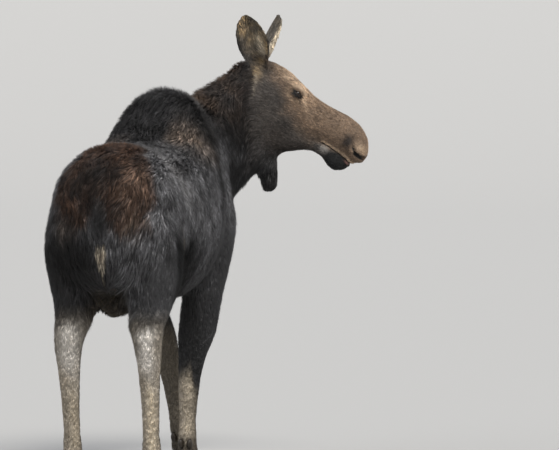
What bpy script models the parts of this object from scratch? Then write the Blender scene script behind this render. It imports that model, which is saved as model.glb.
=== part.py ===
"""A cow moose, life size, standing with her head turned to her right. Metres, +Z up, facing -Y.

The flesh is modelled whole, out to the tips of the coat, then parted by thin cuts into head, neck,
trunk, tail, bell, ears and legs. The hoofs, dewclaws and eyes are bodies of their own.
"""

import math

import bmesh
import bpy
from mathutils import Matrix, Vector

# Driving dimensions.
WITHERS = 1.75  # top of the hump
CROUP = 1.5  # top of the rump
POLL = Vector((0.30, 1.00, 1.885))  # right, forward, up: where the skull meets the crest of the neck
HEAD_TURN = math.radians(82)  # from straight ahead, to the right
HEAD_DROP = math.radians(37)  # below the horizon
GAP = 0.0003  # between pieces that touch
CORONET = 0.074  # where each hoof begins
VOXEL = 0.016
FLESH_TRIANGLES = 4000
RING_SIDES = 28

# Where each foot stands, and where it would stand straight under the hip or shoulder: right, forward.
HIND_SQUARE = (0.185, -0.50)
FORE_SQUARE = (0.105, 0.55)
LEAN_FROM = 1.05  # the height up to which a leg leans from its square place to its foot
FEET = {
    "hind_right": (0.185, -0.51),
    "hind_left": (-0.185, -0.43),
    "fore_right": (0.100, 0.54),
    "fore_left": (-0.022, 0.995),
}

# How far inwards the block that each leg is cut out by reaches on the floor, outward from the midline.
# The left fore foot stands across the midline, ahead of the right one.
FOOT_INNER = {"hind_right": 0.085, "hind_left": 0.085, "fore_right": 0.039, "fore_left": -0.060}

# Sections of the trunk: forward, top, underside, half width, height of the widest part.
TRUNK = (
    (-0.725, 1.30, 0.98, 0.130, 1.15),
    (-0.66, 1.40, 0.87, 0.215, 1.17),
    (-0.52, 1.475, 0.80, 0.275, 1.19),
    (-0.36, CROUP, 0.785, 0.290, 1.18),
    (-0.14, 1.485, 0.782, 0.276, 1.14),
    (0.10, 1.50, 0.765, 0.303, 1.12),
    (0.28, 1.605, 0.765, 0.314, 1.13),
    (0.42, 1.72, 0.80, 0.306, 1.17),
    (0.54, WITHERS, 0.84, 0.293, 1.18),
    (0.68, 1.655, 0.91, 0.285, 1.14),
    (0.80, 1.53, 1.01, 0.250, 1.17),
    (0.89, 1.40, 1.11, 0.150, 1.24),
)

# Sections of the neck: right, forward, up, half width, rise to the crest, drop to the throat.
NECK = (
    (0.00, 0.42, 1.34, 0.250, 0.350, 0.380),
    (0.03, 0.60, 1.39, 0.240, 0.310, 0.370),
    (0.10, 0.78, 1.465, 0.208, 0.250, 0.345),
    (0.20, 0.91, 1.555, 0.168, 0.245, 0.300),
    (0.31, 0.985, 1.645, 0.130, 0.235, 0.265),
    (0.40, 1.01, 1.675, 0.105, 0.190, 0.240),
)

# Sections of the skull and muzzle, along the head from the poll: distance, top, underside, half width.
SKULL = (
    (-0.06, -0.055, -0.23, 0.080),
    (0.00, -0.004, -0.26, 0.098),
    (0.08, 0.040, -0.29, 0.110),
    (0.17, 0.056, -0.30, 0.116),
    (0.26, 0.046, -0.27, 0.108),
    (0.36, 0.033, -0.205, 0.082),
    (0.45, 0.042, -0.150, 0.072),
    (0.54, 0.056, -0.112, 0.078),
    (0.61, 0.048, -0.104, 0.082),
    (0.662, 0.022, -0.106, 0.078),
    (0.694, -0.016, -0.104, 0.062),
    (0.712, -0.046, -0.084, 0.030),
)

# Sections of the lower jaw: distance, top, underside, half width.
JAW = (
    (0.16, -0.10, -0.345, 0.062),
    (0.26, -0.10, -0.365, 0.080),
    (0.34, -0.10, -0.310, 0.076),
    (0.42, -0.10, -0.235, 0.062),
    (0.48, -0.09, -0.186, 0.050),
    (0.54, -0.09, -0.180, 0.048),
    (0.60, -0.10, -0.200, 0.050),
    (0.645, -0.11, -0.186, 0.042),
    (0.670, -0.12, -0.146, 0.022),
)

EYE_ALONG = 0.277
EYE_ABOVE = -0.008
EYE_OUT = 0.086
EYE_RADIUS = 0.0205

# Sections of a hind leg: height, behind the foot, outward of the foot, half across, half lengthwise.
HIND_LEG = (
    (1.26, -0.08, -0.03, 0.120, 0.200),
    (1.12, -0.03, -0.020, 0.128, 0.245),
    (0.98, -0.04, -0.012, 0.128, 0.230),
    (0.87, -0.05, -0.010, 0.118, 0.175),
    (0.79, -0.018, -0.014, 0.100, 0.126),
    (0.72, 0.042, -0.018, 0.088, 0.092),
    (0.66, 0.086, -0.009, 0.073, 0.074),
    (0.60, 0.090, -0.002, 0.063, 0.064),
    (0.49, 0.072, 0.000, 0.051, 0.052),
    (0.33, 0.052, 0.000, 0.041, 0.047),
    (0.23, 0.040, 0.000, 0.039, 0.048),
    (0.16, 0.030, 0.000, 0.045, 0.054),
    (0.11, 0.018, 0.000, 0.045, 0.052),
    (0.06, 0.003, 0.000, 0.050, 0.055),
    (0.03, -0.005, 0.000, 0.050, 0.058),
)

# Sections of a fore leg, as for a hind one.
FORE_LEG = (
    (1.32, 0.03, 0.080, 0.105, 0.190),
    (1.14, -0.02, 0.095, 0.112, 0.190),
    (1.00, 0.00, 0.092, 0.112, 0.160),
    (0.88, 0.02, 0.080, 0.104, 0.126),
    (0.76, 0.02, 0.062, 0.094, 0.102),
    (0.62, 0.00, 0.038, 0.090, 0.084),
    (0.53, -0.012, 0.017, 0.070, 0.070),
    (0.44, -0.012, 0.005, 0.057, 0.060),
    (0.34, 0.000, 0.000, 0.050, 0.050),
    (0.23, 0.012, 0.000, 0.041, 0.047),
    (0.16, 0.020, 0.000, 0.044, 0.053),
    (0.11, 0.014, 0.000, 0.045, 0.052),
    (0.06, 0.003, 0.000, 0.050, 0.055),
    (0.03, -0.005, 0.000, 0.050, 0.058),
)

# Levels of a claw of a hoof: height, forward of the foot, half length, half width.
CLAW = (
    (0.000, 0.020, 0.070, 0.0250),
    (0.020, 0.016, 0.067, 0.0255),
    (0.048, 0.006, 0.057, 0.0245),
    (CORONET - GAP, -0.003, 0.047, 0.0225),
)
CLAW_SIDES = 12
CLAW_OUT = 0.0265  # each claw's middle from the foot's
DEWCLAW_HEIGHT = 0.115
DEWCLAW_BEHIND = 0.060
DEWCLAW_OUT = 0.021

EAR_LENGTH = 0.286
EAR_THICKNESS = 0.009
EARS = {
    # The root along, above and out from the poll, the lean from upright to the front and outward,
    # and the turn of the opening from straight out to the front.
    "right": (0.064, -0.008, 0.078, math.radians(-16), math.radians(24), math.radians(-4)),
    "left": (0.043, -0.003, 0.078, math.radians(17), math.radians(20), math.radians(64)),
}
EAR_CUT = 0.045  # how far up the ear it parts from the head

BELL_LENGTH = 0.159
BELL_HALF_ACROSS = 0.038
BELL_HALF_DEEP = 0.051
BELL_ROUNDS_FROM = 0.74  # the share of its length where its end begins to round
BELL_ALONG = 0.348
BELL_ABOVE = -0.335

TAIL_ROOT = 1.255
TAIL_LENGTH = 0.15

UDDER = (-0.42, 0.80)  # its middle: forward, up
UDDER_SIZES = (0.085, 0.170, 0.078)

SIDES = {"right": 1, "left": -1}


def clear_scene():
    for thing in list(bpy.data.objects):
        bpy.data.objects.remove(thing, do_unlink=True)


def place(right, forward, up):
    """A point from the animal's own right, forward and up."""
    return Vector((-right, -forward, up))


def material(name, colour, roughness):
    """A plain material with the part's colour."""
    made = bpy.data.materials.new(name)
    made.use_nodes = True
    shader = made.node_tree.nodes["Principled BSDF"]
    shader.inputs["Base Color"].default_value = (*colour, 1.0)
    shader.inputs["Roughness"].default_value = roughness
    shader.inputs["Metallic"].default_value = 0.0
    return made


def between(rows, steps):
    """The rows with others between them, on a smooth curve through them all."""
    last = len(rows) - 1
    out = []
    for i in range(last):
        before, start = rows[max(i - 1, 0)], rows[i]
        end, after = rows[i + 1], rows[min(i + 2, last)]
        for step in range(steps):
            t = step / steps
            out.append(tuple(
                0.5 * (2 * b + (c - a) * t + (2 * a - 5 * b + 4 * c - d) * t**2
                       + (3 * b - a - 3 * c + d) * t**3)
                for a, b, c, d in zip(before, start, end, after)
            ))
    out.append(tuple(rows[last]))
    return out


def ring(centre, across, up, half, rise, drop, power):
    """Points round a section that is rounder or squarer as its power is near 2 or above it."""
    points = []
    for i in range(RING_SIDES):
        angle = math.tau * i / RING_SIDES
        c, s = math.cos(angle), math.sin(angle)
        side = math.copysign(abs(c) ** (2 / power), c) * half
        height = math.copysign(abs(s) ** (2 / power), s) * (rise if s > 0 else drop)
        points.append(centre + across * side + up * height)
    return points


def skin_over(rings):
    """A closed body through the rings, its ends closed by a point at their middle."""
    body = bmesh.new()
    sides = len(rings[0])
    loops = [[body.verts.new(point) for point in points] for points in rings]
    for one, other in zip(loops, loops[1:]):
        for i in range(sides):
            j = (i + 1) % sides
            body.faces.new((one[i], one[j], other[j], other[i]))
    for loop in (loops[0], loops[-1]):
        middle = body.verts.new(sum((v.co for v in loop), Vector()) / sides)
        for i in range(sides):
            body.faces.new((loop[i], loop[(i + 1) % sides], middle))
    bmesh.ops.recalc_face_normals(body, faces=body.faces[:])
    return body


def to_object(body, name, look=None):
    """An object from a bmesh, which it frees."""
    mesh = bpy.data.meshes.new(name)
    body.to_mesh(mesh)
    body.free()
    if look:
        mesh.materials.append(look)
    made = bpy.data.objects.new(name, mesh)
    bpy.context.scene.collection.objects.link(made)
    return made


def evaluated(thing):
    """Replaces an object's mesh by the one its modifiers give, and drops the modifiers."""
    graph = bpy.context.evaluated_depsgraph_get()
    mesh = bpy.data.meshes.new_from_object(thing.evaluated_get(graph))
    thing.modifiers.clear()
    old = thing.data
    thing.data = mesh
    bpy.data.meshes.remove(old)
    return thing


def joined(bodies, name):
    """One mesh of several overlapping closed bodies."""
    whole = bmesh.new()
    for body in bodies:
        mesh = bpy.data.meshes.new("piece")
        body.to_mesh(mesh)
        body.free()
        whole.from_mesh(mesh)
        bpy.data.meshes.remove(mesh)
    return to_object(whole, name)


def trunk():
    rings = []
    for forward, top, under, half, widest in between(TRUNK, 3):
        rings.append(ring(place(0, forward, widest), Vector((1, 0, 0)), Vector((0, 0, 1)),
                          half, top - widest, widest - under, 2.15))
    return skin_over(rings)


def neck():
    rows = between(NECK, 3)
    rings = []
    for i, (right, forward, up, half, rise, drop) in enumerate(rows):
        before = rows[max(i - 1, 0)]
        after = rows[min(i + 1, len(rows) - 1)]
        ahead = place(*after[:3]) - place(*before[:3])
        ahead.z *= 0.35
        ahead.normalize()
        across = ahead.cross(Vector((0, 0, 1))).normalized()
        upward = across.cross(ahead)
        rings.append(ring(place(right, forward, up), across, upward, half, rise, drop, 2.1))
    return skin_over(rings)


def head_frame():
    """The head's own axes: towards the nose, up from the brow, and out to its right."""
    heading = place(math.sin(HEAD_TURN), math.cos(HEAD_TURN), 0)
    along = heading * math.cos(HEAD_DROP) - Vector((0, 0, math.sin(HEAD_DROP)))
    above = heading * math.sin(HEAD_DROP) + Vector((0, 0, math.cos(HEAD_DROP)))
    return along, above, along.cross(above)


def on_head(distance, height, out):
    """A point from its distance along the head, its height above that line and its way to the right."""
    along, above, outward = head_frame()
    return place(*POLL) + along * distance + above * height + outward * out


def head_loft(rows, power):
    along, above, outward = head_frame()
    rings = []
    for distance, top, under, half in between(rows, 3):
        middle = (top + under) / 2
        rings.append(ring(on_head(distance, middle, 0), outward, above,
                          half, top - middle, middle - under, power))
    return skin_over(rings)


def ball(centre, axes, sizes, around, down):
    """An ellipsoid from its axes and half sizes."""
    body = bmesh.new()
    bmesh.ops.create_uvsphere(body, u_segments=around, v_segments=down, radius=1)
    turn = Matrix([Vector(a) * s for a, s in zip(axes, sizes)]).transposed().to_4x4()
    bmesh.ops.transform(body, matrix=Matrix.Translation(centre) @ turn, verts=body.verts[:])
    return body


def head_swells():
    """The bony rim over each eye, the rise round each nostril and each cheek."""
    bodies = []
    for side in SIDES.values():
        for along, above, out, sizes in (
            (0.245, 0.012, 0.078, (0.075, 0.035, 0.040)),
            (0.648, -0.040, 0.052, (0.055, 0.050, 0.038)),
            (0.200, -0.100, 0.062, (0.130, 0.130, 0.052)),
        ):
            bodies.append(ball(on_head(along, above, side * out), head_frame(), sizes, 20, 12))
    return bodies


def bell():
    """The flap of skin and hair that hangs at the throat."""
    top = on_head(BELL_ALONG, BELL_ABOVE, 0)
    heading = head_frame()[2].cross(Vector((0, 0, 1)))
    across = head_frame()[2]
    rings = []
    for t in (-0.35, -0.15, 0.1, 0.35, 0.6, 0.8, 0.93, 1.0):
        rounded = max(t - BELL_ROUNDS_FROM, 0) / (1.01 - BELL_ROUNDS_FROM)
        swell = math.sqrt(max(1 - rounded**2, 0.03))
        centre = top - Vector((0, 0, BELL_LENGTH * t))
        wide, deep = BELL_HALF_ACROSS * swell, BELL_HALF_DEEP * swell
        rings.append(ring(centre, across, heading, wide, deep, deep, 2))
    return skin_over(rings)


def in_leg(name, height, behind, outward):
    """A point in a leg, which leans from its square place above to its foot."""
    end, side_name = name.split("_")
    square = HIND_SQUARE if end == "hind" else FORE_SQUARE
    side = SIDES[side_name]
    right, forward = FEET[name]
    share = max(1 - height / LEAN_FROM, 0) ** 0.8
    x = side * (square[0] + outward) + (right - side * square[0]) * share
    y = square[1] - behind + (forward - square[1]) * share
    return place(x, y, height)


def leg(name):
    """A leg from its sections."""
    rings = []
    for height, behind, outward, half, length in between(HIND_LEG if "hind" in name else FORE_LEG, 3):
        centre = in_leg(name, height, behind, outward)
        rings.append(ring(centre, Vector((1, 0, 0)), Vector((0, 1, 0)), half, length, length, 2.1))
    return skin_over(rings)


def tail():
    rings = []
    for t in (0, 0.2, 0.4, 0.6, 0.8, 0.95):
        width = 0.036 * math.sqrt(1 - t**2 * 0.85)
        centre = place(0, -0.722 - 0.012 * math.sin(t * math.pi), TAIL_ROOT - TAIL_LENGTH * t)
        rings.append(ring(centre, Vector((1, 0, 0)), Vector((0, 1, 0)), width, 0.026, 0.026, 2))
    return skin_over(rings)


def ear_axes(side_name):
    """Where an ear is rooted, the way to its tip, across it, and out of its opening."""
    root_along, root_above, root_out, forward_lean, out_lean, turn = EARS[side_name]
    side = SIDES[side_name]
    outward = head_frame()[2] * side
    heading = place(math.sin(HEAD_TURN), math.cos(HEAD_TURN), 0)
    tip_way = Vector((0, 0, 1)) + heading * math.tan(forward_lean) + outward * math.tan(out_lean)
    tip_way.normalize()
    opening = outward * math.cos(turn) + heading * math.sin(turn)
    opening = (opening - tip_way * opening.dot(tip_way)).normalized()
    return on_head(root_along, root_above, side * root_out), tip_way, tip_way.cross(opening), opening


def ear(side_name):
    """A leaf rolled to a tube at its root and spread to a cup above, with a pointed tip."""
    root, tip_way, across, opening = ear_axes(side_name)
    rows, columns = 10, 6
    body = bmesh.new()
    front, back = [], []
    for r in range(rows + 1):
        t = r / rows
        spread = min(t / 0.5, 1)
        reach = 0.050 + 0.033 * math.sin(spread * math.pi / 2)
        if t > 0.5:
            reach *= (1 - ((t - 0.5) / 0.505) ** 2) ** 0.58
        curl = 2.1 - 1.15 * spread
        radius = reach / curl
        base = root + tip_way * (EAR_LENGTH * t - 0.03) + opening * (0.03 * t**2 - 0.02)
        for sheet, thickness in ((front, 0), (back, EAR_THICKNESS * (1 - 0.45 * t))):
            line = []
            for c in range(columns + 1):
                bend = (2 * c / columns - 1) * curl
                arm = radius + thickness * (1 if 0 < c < columns else 0.7)
                point = base + across * arm * math.sin(bend) + opening * (radius - arm * math.cos(bend))
                line.append(body.verts.new(point))
            sheet.append(line)
    for sheet in (front, back):
        for r in range(rows):
            for c in range(columns):
                body.faces.new((sheet[r][c], sheet[r][c + 1], sheet[r + 1][c + 1], sheet[r + 1][c]))
    for r in range(rows):
        for c in (0, columns):
            body.faces.new((front[r][c], front[r + 1][c], back[r + 1][c], back[r][c]))
    for c in range(columns):
        for r in (0, rows):
            body.faces.new((front[r][c], front[r][c + 1], back[r][c + 1], back[r][c]))
    bmesh.ops.recalc_face_normals(body, faces=body.faces[:])
    return body


def flesh():
    """The whole animal but for its ears, hoofs and eyes, as one smooth closed body."""
    bodies = [trunk(), neck(), head_loft(SKULL, 2.3), head_loft(JAW, 2.2), bell(), tail()]
    bodies.append(ball(place(0, *UDDER), ((1, 0, 0), (0, 1, 0), (0, 0, 1)), UDDER_SIZES, 20, 12))
    bodies += head_swells()
    bodies += [leg(name) for name in FEET]
    body = joined(bodies, "flesh")
    remesh = body.modifiers.new("remesh", "REMESH")
    remesh.mode = "VOXEL"
    remesh.voxel_size = VOXEL
    smooth = body.modifiers.new("smooth", "SMOOTH")
    smooth.factor = 0.5
    smooth.iterations = 7
    evaluated(body)
    thin = body.modifiers.new("thin", "DECIMATE")
    thin.ratio = FLESH_TRIANGLES / (2 * len(body.data.polygons))
    evaluated(body)
    return body


def block(points):
    """The convex body round some points, used as the region that a part is cut out by."""
    body = bmesh.new()
    for point in points:
        body.verts.new(point)
    bmesh.ops.convex_hull(body, input=body.verts[:])
    bmesh.ops.recalc_face_normals(body, faces=body.faces[:])
    return body


def grown(body, by):
    """A copy of a convex body with each face moved outwards."""
    bigger = body.copy()
    bigger.normal_update()
    shifts = {}
    for vert in bigger.verts:
        normals = []
        for face in vert.link_faces:
            if all(face.normal.dot(other) < 0.999 for other in normals):
                normals.append(face.normal.copy())
        total = sum(normals, Vector())
        shifts[vert] = total * by
    for vert, shift in shifts.items():
        vert.co += shift
    return bigger


def boolean(target, cutter, operation):
    """The target with the cutter joined, kept in common or taken away."""
    change = target.modifiers.new(operation.lower(), "BOOLEAN")
    change.operation = operation
    change.solver = "EXACT"
    change.object = cutter
    evaluated(target)
    bpy.data.objects.remove(cutter, do_unlink=True)


def part_off(whole, region, name, look):
    """Cuts what lies in the region off the whole, as a piece of its own, leaving a thin gap."""
    piece = bpy.data.objects.new(name, whole.data.copy())
    bpy.context.scene.collection.objects.link(piece)
    wider = to_object(grown(region, GAP), "wider")
    boolean(piece, to_object(region, "region"), "INTERSECT")
    boolean(whole, wider, "DIFFERENCE")
    piece.data.materials.clear()
    piece.data.materials.append(look)
    return piece


def slab(centre, ahead, across, reach, width, height):
    """A block ahead of a plane through the centre."""
    ahead = ahead.normalized()
    across = (across - ahead * across.dot(ahead)).normalized()
    upward = ahead.cross(across)
    points = []
    for depth in (0, reach):
        for w in (-width / 2, width / 2):
            for h in (-height / 2, height / 2):
                points.append(centre + ahead * depth + across * w + upward * h)
    return block(points)


def leg_region(name):
    """The block that holds a leg up to where it leaves the body.

    Its top slants from the crotch out to the hip or shoulder, and its back and front slant inwards.
    """
    end, side_name = name.split("_")
    side = SIDES[side_name]
    fore = end == "fore"
    shoulder = 1.30
    inner, crotch = (0.004, 0.775) if fore else (0.085, 0.70)
    back_low, front_low = (0.16, 1.25) if fore else (-0.95, -0.10)
    back_high, front_high = (0.34, 0.80) if fore else (-0.95, -0.26)
    points = []
    corners = ((FOOT_INNER[name], -0.1), (inner, crotch), (0.40, shoulder), (0.60, shoulder), (0.60, -0.1))
    for right, up in corners:
        share = max(up, 0) / shoulder
        for low, high in ((back_low, back_high), (front_low, front_high)):
            points.append(place(side * right, low + (high - low) * share, up))
    return block(points)


def claw(foot, side):
    """One claw of a hoof: flat below, its wall leaning back to the coronet, narrow at the toe."""
    right, forward = foot
    rings = []
    for height, ahead, length, half in CLAW:
        points = []
        for i in range(CLAW_SIDES):
            angle = math.tau * i / CLAW_SIDES
            reach = math.sin(angle)
            narrow = 1 - 0.38 * max(reach, 0) ** 2
            toe_in = -0.006 * max(reach, 0)
            x = right + side * (CLAW_OUT + toe_in + half * math.cos(angle) * narrow)
            points.append(place(x, forward + ahead + length * reach, height))
        rings.append(points)
    return skin_over(rings)


def dewclaw(name, outward):
    """The small claw behind the pastern."""
    centre = in_leg(name, DEWCLAW_HEIGHT, DEWCLAW_BEHIND, outward)
    lean = Matrix.Rotation(math.radians(-28), 3, "X")
    axes = [lean @ Vector(axis) for axis in ((1, 0, 0), (0, 1, 0), (0, 0, 1))]
    return ball(centre, axes, (0.014, 0.018, 0.026), 8, 5)


def eyes(head, look):
    """Two eyeballs, each in a socket that opens on its side of the head."""
    for side_name, side in SIDES.items():
        centre = on_head(EYE_ALONG, EYE_ABOVE, side * EYE_OUT)
        room = EYE_RADIUS + GAP
        boolean(head, to_object(ball(centre, head_frame(), (room, room, room), 14, 8), "socket"),
                "DIFFERENCE")
        size = (EYE_RADIUS, EYE_RADIUS, EYE_RADIUS)
        to_object(ball(centre, head_frame(), size, 14, 8), "eye_" + side_name, look)


def feet(legs, look):
    """Two claws under each leg and two dewclaws behind it, let into it."""
    for name, foot in FEET.items():
        for place_name, way in (("outer", 1), ("inner", -1)):
            side = way if foot[0] > 0 else -way
            to_object(claw(foot, side), "hoof_" + name + "_" + place_name, look)
            bed = dewclaw(name, way * DEWCLAW_OUT)
            for vert in bed.verts:
                vert.co += vert.normal * GAP
            boolean(legs[name], to_object(bed, "bed"), "DIFFERENCE")
            small = dewclaw(name, way * DEWCLAW_OUT)
            to_object(small, "dewclaw_" + name + "_" + place_name, look)


def moose():
    charcoal = material("charcoal coat", (0.030, 0.027, 0.026), 0.85)
    brown = material("brown coat", (0.060, 0.040, 0.028), 0.85)
    tan = material("tan coat", (0.150, 0.095, 0.060), 0.85)
    grey = material("grey leg coat", (0.160, 0.140, 0.125), 0.85)
    horn = material("hoof horn", (0.020, 0.017, 0.015), 0.45)
    wet = material("dark eye", (0.010, 0.006, 0.004), 0.08)

    body = flesh()
    heading = place(math.sin(HEAD_TURN), math.cos(HEAD_TURN), 0)
    head_cut = place(0.305, 1.0, 1.64)
    behind_cheek = heading + Vector((0, 0, 0.12))
    head = part_off(body, slab(head_cut, behind_cheek, Vector((0, 0, 1)), 1.0, 1.2, 1.2), "head", tan)
    bell_top = on_head(BELL_ALONG, BELL_ABOVE, 0) + Vector((0, 0, 0.012))
    part_off(head, slab(bell_top, Vector((0, 0, -1)), heading, 0.3, 0.16, 0.2), "bell", charcoal)
    for side_name in SIDES:
        boolean(head, to_object(ear(side_name), "ear"), "UNION")
    for side_name in SIDES:
        root, tip_way, across, opening = ear_axes(side_name)
        cut = root + tip_way * EAR_CUT
        part_off(head, slab(cut, tip_way, across, 0.3, 0.22, 0.22), "ear_" + side_name, brown)
    eyes(head, wet)

    neck_way = place(0.22, 0.86, 0.42)
    part_off(body, slab(place(0.05, 0.80, 1.42), neck_way, Vector((1, 0, 0)), 0.9, 1.1, 1.0),
             "neck", brown)
    tail_cut = place(0, -0.7235, TAIL_ROOT - TAIL_LENGTH / 2)
    part_off(body, slab(tail_cut, place(0, -1, 0.06), Vector((1, 0, 0)), 0.2, 0.12, 0.3), "tail", charcoal)

    legs = {}
    for name, foot in FEET.items():
        legs[name] = part_off(body, leg_region(name), "leg_" + name, grey)
        below = slab(place(foot[0], foot[1], CORONET), Vector((0, 0, -1)), Vector((1, 0, 0)), 0.2, 0.4, 0.6)
        boolean(legs[name], to_object(below, "below"), "DIFFERENCE")
    feet(legs, horn)
    body.name = "trunk"
    body.data.materials.clear()
    body.data.materials.append(charcoal)


def stand_on_origin():
    """Moves everything so that the origin is on the floor, under the middle of the bounding box."""
    bpy.context.view_layer.update()
    corners = []
    for thing in bpy.data.objects:
        corners += [vert.co for vert in thing.data.vertices]
    middle = Vector((0, 0, 0))
    for axis in (0, 1):
        middle[axis] = (min(c[axis] for c in corners) + max(c[axis] for c in corners)) / 2
    for thing in bpy.data.objects:
        thing.data.transform(Matrix.Translation(-middle))


clear_scene()
moose()
stand_on_origin()
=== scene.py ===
"""A cow moose as a museum model: one skin under a coat of solid locks, with eyes, lids and horn."""

import math

import bmesh
import bpy
import numpy as np
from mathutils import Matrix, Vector
from mathutils.bvhtree import BVHTree


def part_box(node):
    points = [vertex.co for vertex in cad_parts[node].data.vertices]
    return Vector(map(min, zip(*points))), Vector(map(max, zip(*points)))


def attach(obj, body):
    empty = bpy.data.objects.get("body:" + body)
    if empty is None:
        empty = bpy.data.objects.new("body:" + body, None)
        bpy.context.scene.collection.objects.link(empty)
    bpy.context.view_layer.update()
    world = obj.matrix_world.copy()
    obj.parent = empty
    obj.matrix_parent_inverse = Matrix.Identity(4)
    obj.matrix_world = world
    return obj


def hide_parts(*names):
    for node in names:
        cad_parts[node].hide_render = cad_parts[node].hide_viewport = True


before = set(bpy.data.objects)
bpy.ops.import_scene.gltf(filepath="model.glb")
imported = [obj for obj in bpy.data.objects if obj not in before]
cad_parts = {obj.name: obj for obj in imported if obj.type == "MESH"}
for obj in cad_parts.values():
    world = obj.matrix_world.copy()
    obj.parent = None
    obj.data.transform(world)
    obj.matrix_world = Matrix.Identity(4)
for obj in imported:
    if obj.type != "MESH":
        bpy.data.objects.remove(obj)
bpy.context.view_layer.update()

# The head's own frame and the ears' length, as the part has them.
EAR_LENGTH = 0.286
HEAD_TURN = math.radians(82)
HEAD_DROP = math.radians(37)
EYE_ALONG = 0.277
EYE_ABOVE = -0.008
POLL_RIGHT, POLL_FORWARD = 0.30, 1.00
HEADING = np.array((-math.sin(HEAD_TURN), -math.cos(HEAD_TURN), 0.0))
UP = np.array((0.0, 0.0, 1.0))
ALONG = HEADING * math.cos(HEAD_DROP) - UP * math.sin(HEAD_DROP)
ABOVE = HEADING * math.sin(HEAD_DROP) + UP * math.cos(HEAD_DROP)
OUT = np.cross(ALONG, ABOVE)

EYES = {side: np.array(sum(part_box("eye_" + side), Vector()) / 2) for side in ("right", "left")}
POLL = (EYES["right"] + EYES["left"]) / 2 - ALONG * EYE_ALONG - ABOVE * EYE_ABOVE
ORIGIN = np.array((POLL[0] + POLL_RIGHT, POLL[1] + POLL_FORWARD, 0.0))

FLESH = ("trunk", "neck", "head", "bell", "tail", "ear_right", "ear_left",
         "leg_hind_right", "leg_hind_left", "leg_fore_right", "leg_fore_left")
TRUNK, NECK, HEAD, BELL, TAIL, EAR_RIGHT, EAR_LEFT = range(7)
FIRST_LEG = 7
HIND_LEGS, FORE_LEGS = [7, 8], [9, 10]
VOXEL = 0.0045
SKIN_TRIANGLES = 160000
EAR_SWELL = 0.0015  # ears are thickened while the skin is made, so that no hole opens in them
SEAM_SWELL = 0.0008
# How much of the full smoothing each node takes, and how deep its coat is.
SMOOTHING = (1.0, 0.8, 0.16, 0.2, 0.5, 0.03, 0.03, 0.5, 0.5, 0.5, 0.5)
DEPTH = (0.020, 0.024, 0.0045, 0.009, 0.012, 0.0025, 0.0025, 0.013, 0.013, 0.013, 0.013)
CORONET = 0.079  # the legs' flesh ends a little under this height
EAR_TIP = 0.013  # how far the right ear's tip is drawn out

# For each ear: along, above and out from the poll, then its lean forwards and outwards and its turn.
EARS = {
    "right": (0.064, -0.008, 0.078, math.radians(-16), math.radians(24), math.radians(-4)),
    "left": (0.043, -0.003, 0.078, math.radians(17), math.radians(20), math.radians(64)),
}

rng = np.random.default_rng(11)


def unit(vectors):
    """Vectors brought to a length of 1."""
    return vectors / np.maximum(np.linalg.norm(vectors, axis=-1, keepdims=True), 1e-9)


def smooth(low, high, values):
    """0 below low, 1 above high and a smooth slope between."""
    t = np.clip((values - low) / (high - low), 0, 1)
    return t * t * (3 - 2 * t)


def below(low, high, values):
    """1 below low, 0 above high and a smooth slope between."""
    return 1 - smooth(low, high, values)


def between(values, low, high, top, end):
    """Rises from 0 to 1 between low and high, and falls back to 0 between top and end."""
    return smooth(low, high, values) * below(top, end, values)


def bump(x, middle, width):
    """1 at the middle, falling off smoothly to both sides."""
    return np.exp(-((x - middle) / width) ** 2)


def on_body(points):
    """Right, forward and up of points in the animal's own frame."""
    return ORIGIN[0] - points[:, 0], ORIGIN[1] - points[:, 1], points[:, 2]


def on_head(points):
    """Along, above and out of points in the head's frame."""
    offset = points - POLL
    return offset @ ALONG, offset @ ABOVE, offset @ OUT


def on_legs(weights):
    """How much each point belongs to the legs."""
    return weights[:, FIRST_LEG:].sum(1)


def hashed(x, y, z, seed):
    """A number from 0 to 1 for each whole cell."""
    n = (x * 73856093) ^ (y * 19349663) ^ (z * 83492791) ^ (seed * 2654435)
    n = ((n ^ (n >> 13)) * 1274126177) & 0x7FFFFFFF
    n = ((n ^ (n >> 15)) * 668265263) & 0x7FFFFFFF
    return ((n >> 7) & 0xFFFF) / 0xFFFF


def noise(points, size, seed):
    """Smooth noise from -1 to 1 with swells of that size."""
    p = points / size + 4096.5
    cell = np.floor(p).astype(np.int64)
    f = p - cell
    f = f * f * (3 - 2 * f)
    total = 0
    for step in np.ndindex(2, 2, 2):
        weight = np.where(step, f, 1 - f)
        total = total + weight[:, 0] * weight[:, 1] * weight[:, 2] * hashed(*(cell + step).T, seed)
    return total * 2 - 1


def ear_axes(side):
    """Where an ear is rooted, the way to its tip, across it, and out of its opening."""
    along, above, out, forward_lean, out_lean, turn = EARS[side]
    sign = 1 if side == "right" else -1
    outward = OUT * sign
    tip_way = unit(UP + HEADING * math.tan(forward_lean) + outward * math.tan(out_lean))
    opening = outward * math.cos(turn) + HEADING * math.sin(turn)
    opening = unit(opening - tip_way * (opening @ tip_way))
    root = POLL + ALONG * along + ABOVE * above + OUT * sign * out
    return root, tip_way, np.cross(tip_way, opening), opening


# The skin.

def mesh_object(name, verts, faces, smoothed=False):
    """An object from arrays, its faces all of one size."""
    mesh = bpy.data.meshes.new(name)
    sides = faces.shape[1]
    mesh.vertices.add(len(verts))
    mesh.vertices.foreach_set("co", np.ascontiguousarray(verts, np.float32).ravel())
    mesh.loops.add(faces.size)
    mesh.loops.foreach_set("vertex_index", np.ascontiguousarray(faces, np.int32).ravel())
    mesh.polygons.add(len(faces))
    mesh.polygons.foreach_set("loop_start", np.arange(0, faces.size, sides, dtype=np.int32))
    if smoothed:
        mesh.polygons.foreach_set("use_smooth", np.ones(len(faces), bool))
    mesh.update(calc_edges=True)
    return scene_object(name, mesh)


def scene_object(name, data):
    """A new object in the scene that holds the data."""
    made = bpy.data.objects.new(name, data)
    bpy.context.scene.collection.objects.link(made)
    return made


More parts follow.
